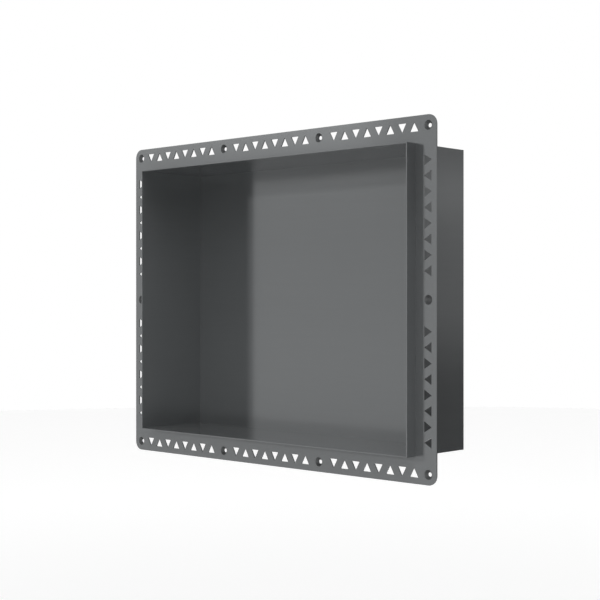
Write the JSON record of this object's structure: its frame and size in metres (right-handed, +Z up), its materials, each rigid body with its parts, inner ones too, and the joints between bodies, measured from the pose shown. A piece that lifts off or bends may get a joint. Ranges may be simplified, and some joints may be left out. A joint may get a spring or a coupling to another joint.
{
  "type": "shower niche insert",
  "caption": "Open-fronted sheet-steel box that makes a recessed shelf in a shower wall, with a projecting collar and a perforated mounting flange.",
  "frame": {"origin": "centre of the rectangle of corner screw holes, in the plane where their countersinks end and the plain holes start", "axes": "+X to the right seen from the room, +Y into the wall, +Z up"},
  "size_m": [0.4572, 0.0901, 0.3556],
  "materials": {
    "gunmetal_steel": "dark grey brushed satin"
  },
  "bodies": {
    "root": {"niche_insert": "gunmetal_steel"}
  },
  "joints": []
}
